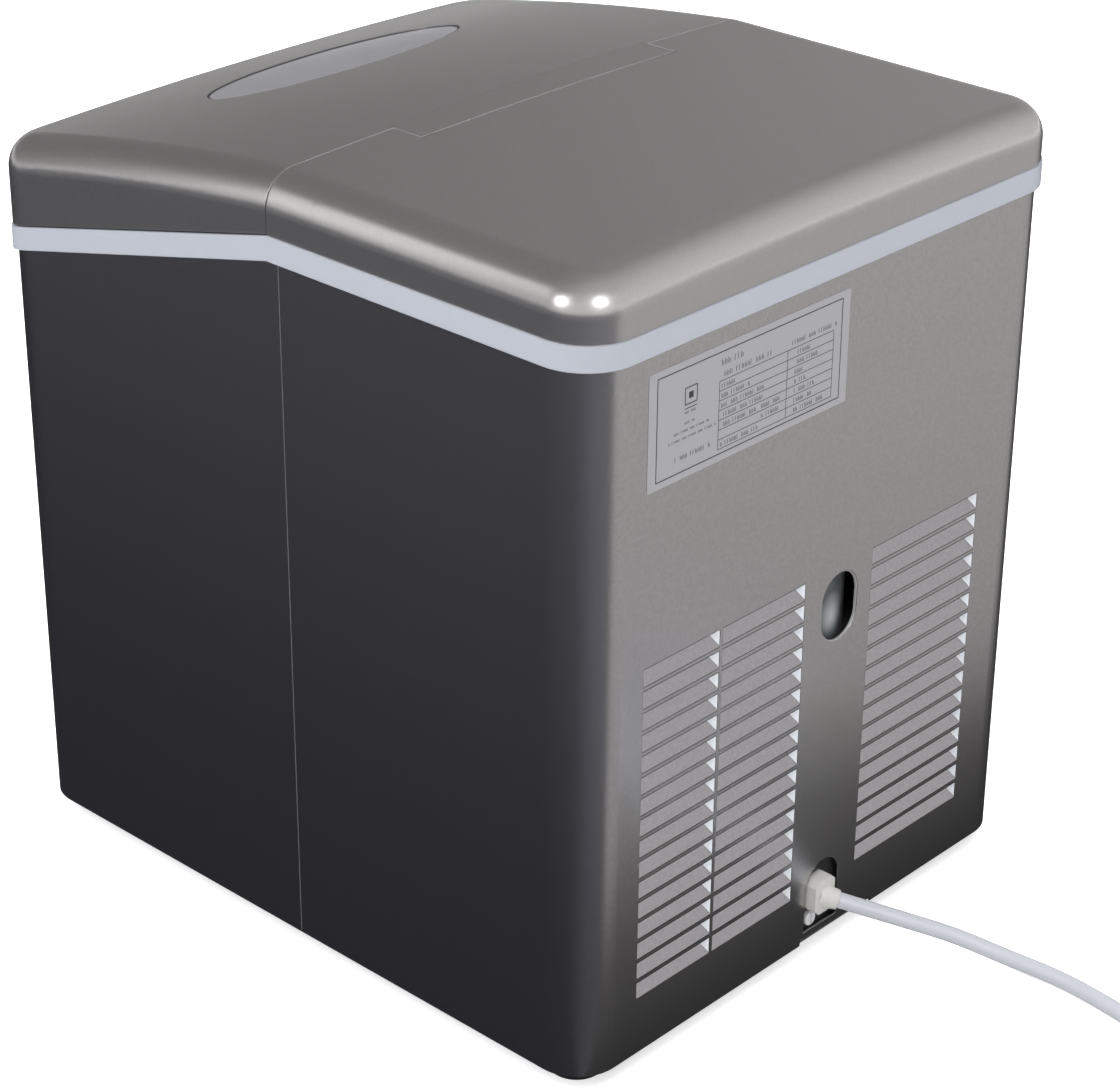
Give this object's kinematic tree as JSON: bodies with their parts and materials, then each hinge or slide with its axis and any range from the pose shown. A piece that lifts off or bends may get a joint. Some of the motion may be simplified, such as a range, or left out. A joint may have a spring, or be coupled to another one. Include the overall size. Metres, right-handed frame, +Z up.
{
  "type": "portable ice maker",
  "caption": "Portable countertop ice maker with a hinged windowed lid, louvred metal housing, freezing fingers, tilting water tray, ice basket, compressor, fan and mains lead.",
  "frame": {"origin": "on the floor at the middle of the machine's footprint, feet resting on it", "axes": "+X towards the machine's right side seen from its front, +Y towards the louvred rear panel, +Z up"},
  "size_m": [0.31, 0.5898, 0.3786],
  "materials": {
    "silver_sheet": "satin metallic silver-grey",
    "silver_plastic": "satin metallic silver-grey",
    "white_plastic": "semi-gloss",
    "ivory_plastic": "matte moulded",
    "cord_jacket": "smooth jacket",
    "black_rubber": "matte",
    "grey_rubber": "matte",
    "bright_screw": "bright",
    "brass_pin": "bright",
    "label_foil": "satin foil",
    "galvanised": "zinc",
    "galvanised_dark": "dark zinc",
    "tub_plastic": "satin moulded",
    "basket_plastic": "semi-gloss",
    "gear_plastic": "matte acetal",
    "foam": "matte foam",
    "compressor_paint": "gloss black",
    "fin_aluminium": "thin rolled",
    "copper": "dull copper",
    "dark_plastic": "matte",
    "panel_plastic": "gloss",
    "button_plastic": "satin silver",
    "fan_plastic": "matte",
    "lamp_lens": "translucent",
    "board_green": "solder mask",
    "hose_silicone": "translucent",
    "window_clear": "smoked clear plastic"
  },
  "bodies": {
    "cabinet": {"base_pan": "galvanised", "rubber_feet": "black_rubber", "foot_screws": "bright_screw", "front_housing": "silver_sheet", "rear_housing": "silver_sheet", "housing_screws": "bright_screw", "trim_band": "white_plastic", "rear_top_cover": "silver_plastic", "rating_label": "label_foil", "inner_tub": "tub_plastic", "foam_insulation": "foam", "rim_seal": "grey_rubber", "partition_panel": "galvanised", "evaporator_manifold": "copper", "freezing_fingers": "bright_screw", "evaporator_hangers": "galvanised", "shaft_brackets": "tub_plastic", "tilt_motor": "dark_plastic", "ice_full_sensors": "dark_plastic", "compressor_shell": "compressor_paint", "compressor_plate": "compressor_paint", "compressor_grommets": "black_rubber", "terminal_cover": "dark_plastic", "condenser_fins": "fin_aluminium", "condenser_coil": "copper", "fan_shroud": "dark_plastic", "fan_motor": "galvanised", "filter_drier": "copper", "capillary_tube": "copper", "suction_tube": "copper", "discharge_tube": "copper", "hot_gas_valve": "dark_plastic", "water_pump": "dark_plastic", "pump_hose": "hose_silicone", "board_box": "dark_plastic", "control_board": "board_green", "control_panel": "panel_plastic", "indicator_leds": "lamp_lens", "drain_spout": "tub_plastic", "cord_bracket": "galvanised_dark", "ground_screw": "bright_screw", "strain_relief": "ivory_plastic", "power_cord": "cord_jacket", "cord_coil": "cord_jacket", "power_plug": "cord_jacket", "plug_blades": "brass_pin"},
    "lid": {"lid_shell": "silver_plastic", "lid_window": "window_clear", "window_gasket": "black_rubber", "hinge_pins": "bright_screw"},
    "water_tray": {"water_tray": "tub_plastic", "tray_gear": "gear_plastic"},
    "ice_shovel": {"ice_shovel": "tub_plastic", "shovel_gear": "gear_plastic"},
    "ice_basket": {"ice_basket": "basket_plastic"},
    "fan": {"fan_blades": "fan_plastic"},
    "power_button": {"power_button": "button_plastic"},
    "select_button": {"select_button": "button_plastic"},
    "drain_plug": {"drain_plug": "grey_rubber"},
    "pump_impeller": {"pump_impeller": "fan_plastic"}
  },
  "joints": [
    {"name": "lid_hinge", "type": "hinge", "parent": "cabinet", "child": "lid", "pos_m": [0, 0.0155, 0.375], "axis": [-1, 0, 0], "range_deg": [0, 100]},
    {"name": "tray_tilt", "type": "hinge", "parent": "cabinet", "child": "water_tray", "pos_m": [0, -0.014, 0.24], "axis": [1, 0, 0], "range_deg": [0, 75]},
    {"name": "shovel_swing", "type": "hinge", "parent": "cabinet", "child": "ice_shovel", "pos_m": [0, -0.04797, 0.26206], "axis": [1, 0, 0], "range_deg": [-60, 0]},
    {"name": "basket_lift", "type": "slide", "parent": "cabinet", "child": "ice_basket", "axis": [0, 0, 1], "range_m": [0, 0.028]},
    {"name": "fan_spin", "type": "hinge", "parent": "cabinet", "child": "fan", "pos_m": [0.067, 0.12, 0.12], "axis": [0, 1, 0], "continuous": true},
    {"name": "pump_spin", "type": "hinge", "parent": "cabinet", "child": "pump_impeller", "pos_m": [0.118, -0.1, 0.07], "axis": [0, 0, 1], "continuous": true},
    {"name": "power_press", "type": "slide", "parent": "cabinet", "child": "power_button", "axis": [0, 1, 0], "range_m": [0, 0.0015], "stiffness_N_per_m": 500, "springref_m": -0.002},
    {"name": "select_press", "type": "slide", "parent": "cabinet", "child": "select_button", "axis": [0, 1, 0], "range_m": [0, 0.0015], "stiffness_N_per_m": 500, "springref_m": -0.002},
    {"name": "drain_pull", "type": "slide", "parent": "cabinet", "child": "drain_plug", "axis": [-1, 0, 0], "range_m": [0, 0.02]}
  ],
  "couplings": [
    {"joint": "shovel_swing", "follows": "tray_tilt", "ratio": -0.8}
  ]
}
